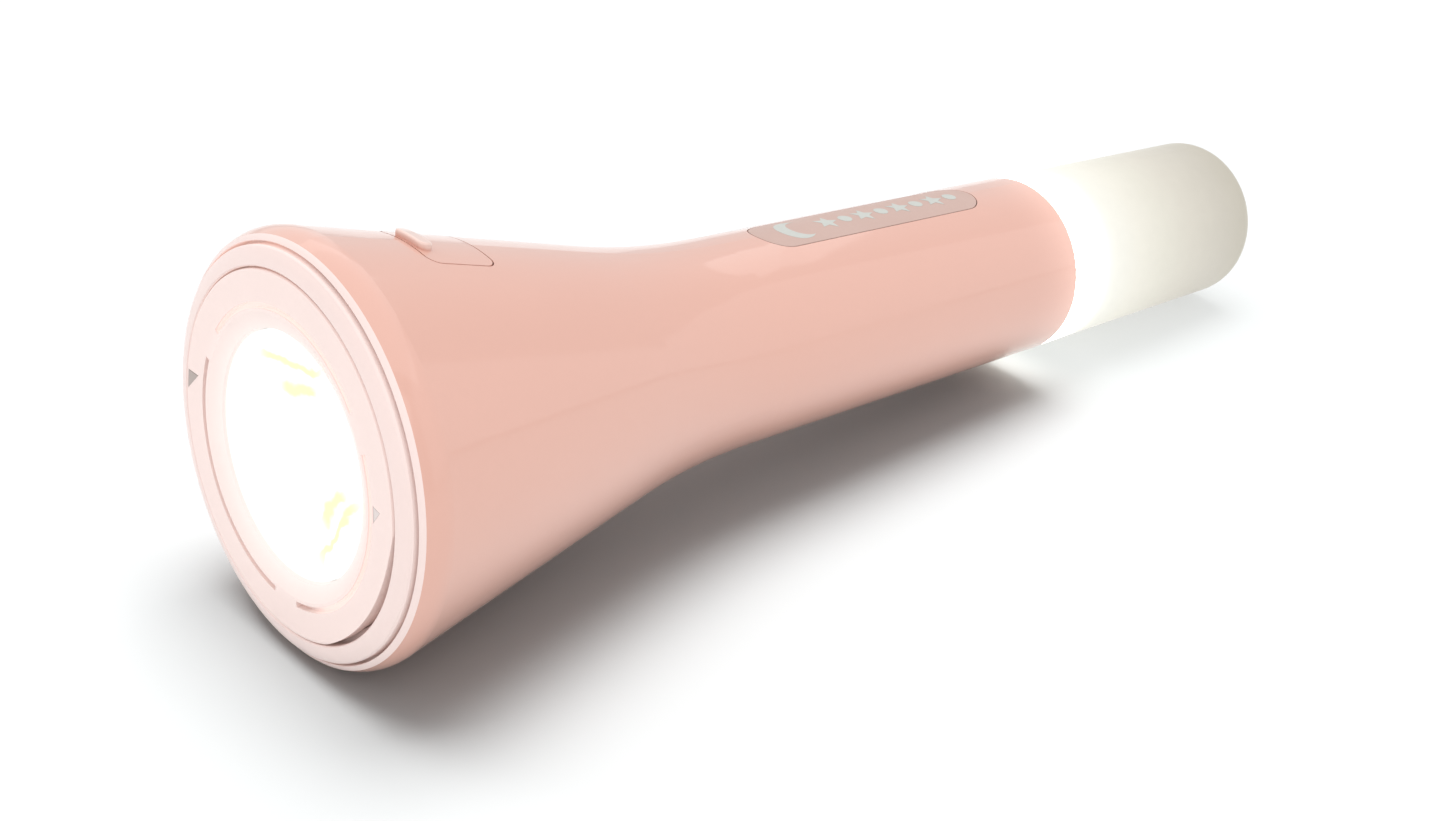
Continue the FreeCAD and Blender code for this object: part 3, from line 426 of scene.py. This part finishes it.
def cell_material():
    """Shrink sleeve of the cell: a band at each end, faint wrinkles across it."""
    material, tree, shader = new_material("cell_sleeve", Roughness=0.28, Coat_Weight=0.4)
    where = torch_space(tree)
    x = add(tree, "SeparateXYZ", {"Vector": where}).outputs[0]
    x0, x1 = own_span("battery_cell")
    ends = plus(tree, ranged(tree, x, x0 + 6, x0 + 6.2, 1.0, 0.0), ranged(tree, x, x1 - 7, x1 - 6.8))
    cloud = noise(tree, where, 0.3, 3.0)
    sleeve = mixed(tree, cloud, (0.06, 0.20, 0.48, 1), (0.09, 0.27, 0.58, 1))
    tree.links.new(mixed(tree, ends, sleeve, (0.75, 0.76, 0.78, 1)), shader.inputs["Base Color"])
    bumped(tree, shader, noise(tree, stretched(tree, where, (2.5, 0.4, 0.4)), 0.8, 3.0), 0.05)
    return material


def phosphor_material():
    """Yellow light source, its colour varied in fine grains."""
    material, tree, shader = new_material("phosphor", Roughness=0.35, Emission_Strength=0.8)
    where = torch_space(tree)
    grains = noise(tree, where, 5.0, 2.0)
    colour = mixed(tree, grains, (0.86, 0.66, 0.12, 1), (0.98, 0.84, 0.34, 1))
    tree.links.new(colour, shader.inputs["Base Color"])
    tree.links.new(colour, shader.inputs["Emission Color"])
    bumped(tree, shader, grains, 0.02)
    return material


def wire_material(name, colour):
    """Soft sleeve with faint rubbed streaks along the wire."""
    material, tree, shader = new_material(name)
    where = torch_space(tree)
    rubbed = noise(tree, stretched(tree, where, (0.25, 1.5, 1.5)), 1.5, 3.0)
    tree.links.new(mixed(tree, rubbed, shade(colour, 0.8), shade(colour, 1.3)), shader.inputs["Base Color"])
    tree.links.new(ranged(tree, rubbed, 0.3, 0.7, 0.35, 0.55), shader.inputs["Roughness"])
    bumped(tree, shader, noise(tree, where, 6.0, 2.0), 0.02)
    return material


def inner_materials():
    """Finish of each slot that lies inside the torch or in its openings."""
    return {
        "inner_white": moulded("inner_white", (0.78, 0.77, 0.74, 1), (0.5, 0.62), 0.03, 0.02, 6.0)[0],
        "inner_black": moulded("inner_black", BLACK, *BLACK_SKIN)[0],
        "connector_white": moulded("connector_nylon", (0.84, 0.82, 0.74, 1), (0.4, 0.5), 0.03, 0.01, 5.0)[0],
        "ferrite": moulded("ferrite", (0.09, 0.09, 0.10, 1), (0.6, 0.8), 0.25, 0.04, 9.0)[0],
        "screw_steel": metal("plated_steel", (0.62, 0.61, 0.59, 1), (0.22, 0.34), (0.4, 2.0, 2.0)),
        "nickel": metal("nickel", (0.68, 0.66, 0.61, 1), (0.24, 0.38), (2.0, 0.3, 0.3)),
        "reflector_chrome": metal(
            "bright_reflector", (0.90, 0.90, 0.91, 1), (0.05, 0.09), (0.2, 0.6, 0.6), 0.004
        ),
        "heat_sink_aluminium": metal(
            "extruded_aluminium", (0.78, 0.79, 0.80, 1), (0.3, 0.45), (0.15, 2.0, 2.0)
        ),
        "led_yellow": phosphor_material(),
        "board_white": board_material("white_board", (0.84, 0.84, 0.80, 1), (0.76, 0.76, 0.72, 1)),
        "board_green": board_material("green_board", (0.02, 0.17, 0.07, 1), (0.05, 0.30, 0.12, 1)),
        "cell_wrap": cell_material(),
        "wire_black": wire_material("black_sleeve", (0.03, 0.03, 0.03, 1)),
        "wire_red": wire_material("red_sleeve", (0.50, 0.03, 0.025, 1)),
    }


def dress_nodes():
    """Gives every CAD node the material of its slot, and some nodes one of their own."""
    by_slot = inner_materials()
    by_slot["body_pink"] = body_material()
    by_slot["pale_pink"] = ring_material()
    by_slot["lens"] = lens_material()
    by_slot["frosted_white"] = lantern_material()
    by_slot["plate_taupe"] = plate_material()
    by_node = {
        "focus_cap": cap_material(), "thumb_button": button_material(), "lens_barrel": barrel_material(),
    }
    for part in frame["record"]["subparts"]:
        node = part["node"]
        material = by_node.get(node, by_slot[part["material_slot"]])
        for slot in NODES[node].material_slots:
            slot.material = material


# ---- Pieces of Blender's own -------------------------------------------------------------------------
def finish_piece(bm, name, material, body):
    """Turns a bmesh in the torch's own frame into a piece that rides on a body."""
    for v in bm.verts:
        v.co = place(*v.co)
    bmesh.ops.recalc_face_normals(bm, faces=bm.faces)
    mesh = bpy.data.meshes.new(name)
    bm.to_mesh(mesh)
    bm.free()
    piece = bpy.data.objects.new(name, mesh)
    mesh.materials.append(material)
    bpy.context.scene.collection.objects.link(piece)
    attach(piece, body)
    return piece


PLATE_END_R = [own_radius("name_plate", x - 3, x + 3) for x in PLATE_SPAN]
PRINT_SUNK = 0.06       # how deep the print reaches into the plate
PRINT_PROUD = 0.025     # and how far it stands out of it
PRINT_STRIP = 0.5       # width of the strips that let the print follow the plate's curve


def plate_radius(x):
    """Radius of the name plate's outside at x, from its own mesh."""
    x0, x1 = PLATE_SPAN
    r0, r1 = PLATE_END_R
    return r0 + (r1 - r0) * (x - x0) / (x1 - x0)


def printed(outlines, name, material):
    """A thin printed film on the plate; each outline is a closed loop of (x, sideways) points."""
    whole = bmesh.new()
    for outline in outlines:
        bm = bmesh.new()
        bm.faces.new([bm.verts.new((x, s, 0)) for x, s in outline])
        low = min(s for _, s in outline)
        high = max(s for _, s in outline)
        cut = low + PRINT_STRIP
        while cut < high - 0.05:
            everything = bm.verts[:] + bm.edges[:] + bm.faces[:]
            bmesh.ops.bisect_plane(bm, geom=everything, plane_co=(0, cut, 0), plane_no=(0, 1, 0))
            cut += PRINT_STRIP
        bmesh.ops.triangulate(bm, faces=bm.faces)
        raised = bmesh.ops.extrude_face_region(bm, geom=bm.faces[:])["geom"]
        for v in [g for g in raised if isinstance(g, bmesh.types.BMVert)]:
            v.co.z = PRINT_PROUD + PRINT_SUNK
        scratch = bpy.data.meshes.new("scratch")
        bm.to_mesh(scratch)
        bm.free()
        whole.from_mesh(scratch)
        bpy.data.meshes.remove(scratch)
    for v in whole.verts:
        r = plate_radius(v.co.x) - PRINT_SUNK + v.co.z
        angle = v.co.y / plate_radius(v.co.x)
        v.co = (v.co.x, r * math.sin(angle), r * math.cos(angle))
    return finish_piece(whole, name, material, "housing")


def round_outline(x, s, radius, count=28):
    steps = [2 * math.pi * i / count for i in range(count)]
    return [(x + radius * math.cos(a), s + radius * math.sin(a)) for a in steps]


def star_outline(x, s, radius, points, waist=0.45):
    made = []
    for i in range(2 * points):
        reach = radius if i % 2 == 0 else radius * waist
        a = math.pi * i / points
        made.append((x + reach * math.cos(a), s + reach * math.sin(a)))
    return made


def moon_outline(x, s, radius, count=20):
    """A crescent: an outer arc and a flatter inner arc back."""
    outer = [math.radians(50 + 260 * i / count) for i in range(count + 1)]
    points = [(x + radius * math.cos(a), s + radius * math.sin(a)) for a in outer]
    inner_r = radius * 0.8
    inner_x = x + radius * 0.5
    start = math.atan2(points[-1][1] - s, points[-1][0] - inner_x)
    end = math.atan2(points[0][1] - s, points[0][0] - inner_x)
    sweep = (end - start) % (2 * math.pi) - 2 * math.pi
    for i in range(1, count):
        a = start + sweep * i / count
        points.append((inner_x + inner_r * math.cos(a), s + inner_r * math.sin(a)))
    return points


MOON_X = 99.2
MOON_R = 3.7
GARLAND_X = 107.0
GARLAND_PITCH = 4.65
GARLAND_COUNT = 8
STAR_R = 2.5
DOT_R = 1.35


def plate_print():
    """A moon and a garland of stars and dots, from the head's end towards the lantern."""
    outlines = [moon_outline(MOON_X, 0.0, MOON_R)]
    for i in range(GARLAND_COUNT):
        x = GARLAND_X + GARLAND_PITCH * i
        outlines.append(star_outline(x, 0.0, STAR_R, 5) if i % 2 == 0 else round_outline(x, 0.0, DOT_R))
    return printed(outlines, "plate_print", print_material())


# The pointer marks' fillings: x of their face and foot, and for each its angle, base radius, tip radius,
# half base, sideways lean of the tip, and its material's name and colour.
POINTER_X = (0.02, 0.37)
POINTERS = {
    "edge_pointer": (86.1, 26.74, 24.0, 1.5, -1.65, "mark_dark", (0.46, 0.39, 0.36, 1)),
    "inner_pointer": (-85.5, 22.86, 24.4, 1.2, 0.72, "mark_light", (0.73, 0.65, 0.63, 1)),
}


def on_face(angle, radius, sideways, x):
    """Point on the face of the head: an angle, a radius and a sideways step at right angles to it."""
    a = math.radians(angle)
    return (x, radius * math.sin(a) + sideways * math.cos(a), radius * math.cos(a) - sideways * math.sin(a))


def pointer(name, angle, base_r, tip_r, half_base, lean, finish, colour):
    """A triangular filling for a pointer mark, set in its pocket with a small bevel."""
    bm = bmesh.new()
    corners = ((base_r, -half_base), (base_r, half_base), (tip_r, lean))
    top = [bm.verts.new(on_face(angle, r, s, POINTER_X[0])) for r, s in corners]
    bottom = [bm.verts.new(on_face(angle, r, s, POINTER_X[1])) for r, s in corners]
    bm.faces.new(top)
    bm.faces.new(bottom[::-1])
    for i in range(3):
        j = (i + 1) % 3
        bm.faces.new((top[j], top[i], bottom[i], bottom[j]))
    bmesh.ops.bevel(bm, geom=bm.edges[:], offset=0.05, segments=2, affect="EDGES")
    material = moulded(finish, colour, (0.5, 0.65), 0.03, 0.012, 8.0)[0]
    return finish_piece(bm, name, material, "focus_ring")


# ---- Floor and lights --------------------------------------------------------------------------------
FLOOR_HALF = 6.0
LIGHT_AIM = Vector((0, 0, 0.02))
# The floor's light comes from one place in two parts; only pieces ahead of the lantern block the first.
FLOOR_KEY_AT = (0.2, 0.6, 4.0)
FLOOR_KEY_SIZE = (3.4, 2.6)
FLOOR_KEYS = {"floor_key": 250, "floor_key_all": 95}
SHADOW_NODES = ("body_shell", "front_bezel", "lock_ring", "focus_cap", "front_lens", "thumb_button")
# Soft panels for the torch alone: name, place, size and watts.
PANELS = (
    ("overhead", (0.1, 0.3, 2.0), (4.0, 4.0), 32),
    ("left_fill", (-2.1, -1.1, 1.1), (3.0, 2.2), 15),
    ("right_fill", (1.3, -2.0, 1.2), (4.0, 2.5), 11.5),
    ("back_fill", (0.3, 2.3, 1.2), (3.0, 2.0), 6),
)
WORLD_STRENGTH = 0.75


def make_floor():
    bm = bmesh.new()
    corners = ((-1, -1), (1, -1), (1, 1), (-1, 1))
    bm.faces.new([bm.verts.new((FLOOR_HALF * x, FLOOR_HALF * y, 0)) for x, y in corners])
    mesh = bpy.data.meshes.new("floor")
    bm.to_mesh(mesh)
    bm.free()
    floor = bpy.data.objects.new("floor", mesh)
    bpy.context.scene.collection.objects.link(floor)
    white = {"Base_Color": (0.41, 0.42, 0.422, 1), "Roughness": 0.7, "Specular_IOR_Level": 0.05}
    mesh.materials.append(new_material("floor_white", **white)[0])
    return floor


def area_light(name, at, size, watts):
    data = bpy.data.lights.new(name, "AREA")
    data.shape = "RECTANGLE"
    data.size, data.size_y = size
    data.energy = watts
    light = bpy.data.objects.new(name, data)
    light.location = at
    light.rotation_euler = (LIGHT_AIM - Vector(at)).to_track_quat("-Z", "Y").to_euler()
    bpy.context.scene.collection.objects.link(light)
    return light


def collected(name, objects):
    group = bpy.data.collections.new(name)
    for each in objects:
        group.objects.link(each)
    return group


def light_only(light, name, pieces):
    """Lets a light fall on these objects alone."""
    light.light_linking.receiver_collection = collected(name, pieces)


def make_lights(floor, torch):
    """White floor and evenly lit torch; the glowing lantern casts only a faint shadow."""
    for name, watts in FLOOR_KEYS.items():
        key = area_light(name, FLOOR_KEY_AT, FLOOR_KEY_SIZE, watts)
        light_only(key, name + "_on_floor", [floor])
        if name == "floor_key":
            blockers = [NODES[node] for node in SHADOW_NODES]
            key.light_linking.blocker_collection = collected("floor_shadow", blockers)
    for name, at, size, watts in PANELS:
        light_only(area_light(name, at, size, watts), name + "_on_torch", torch)
    world = bpy.data.worlds.new("studio")
    world.use_nodes = True
    background = world.node_tree.nodes["Background"]
    background.inputs["Color"].default_value = (1, 1, 1, 1)
    background.inputs["Strength"].default_value = WORLD_STRENGTH
    bpy.context.scene.world = world
    bpy.context.scene.view_settings.view_transform = "Standard"


make_camera()
dress_nodes()
own_pieces = [plate_print()] + [pointer(name, *mark) for name, mark in POINTERS.items()]
make_lights(make_floor(), list(NODES.values()) + own_pieces)
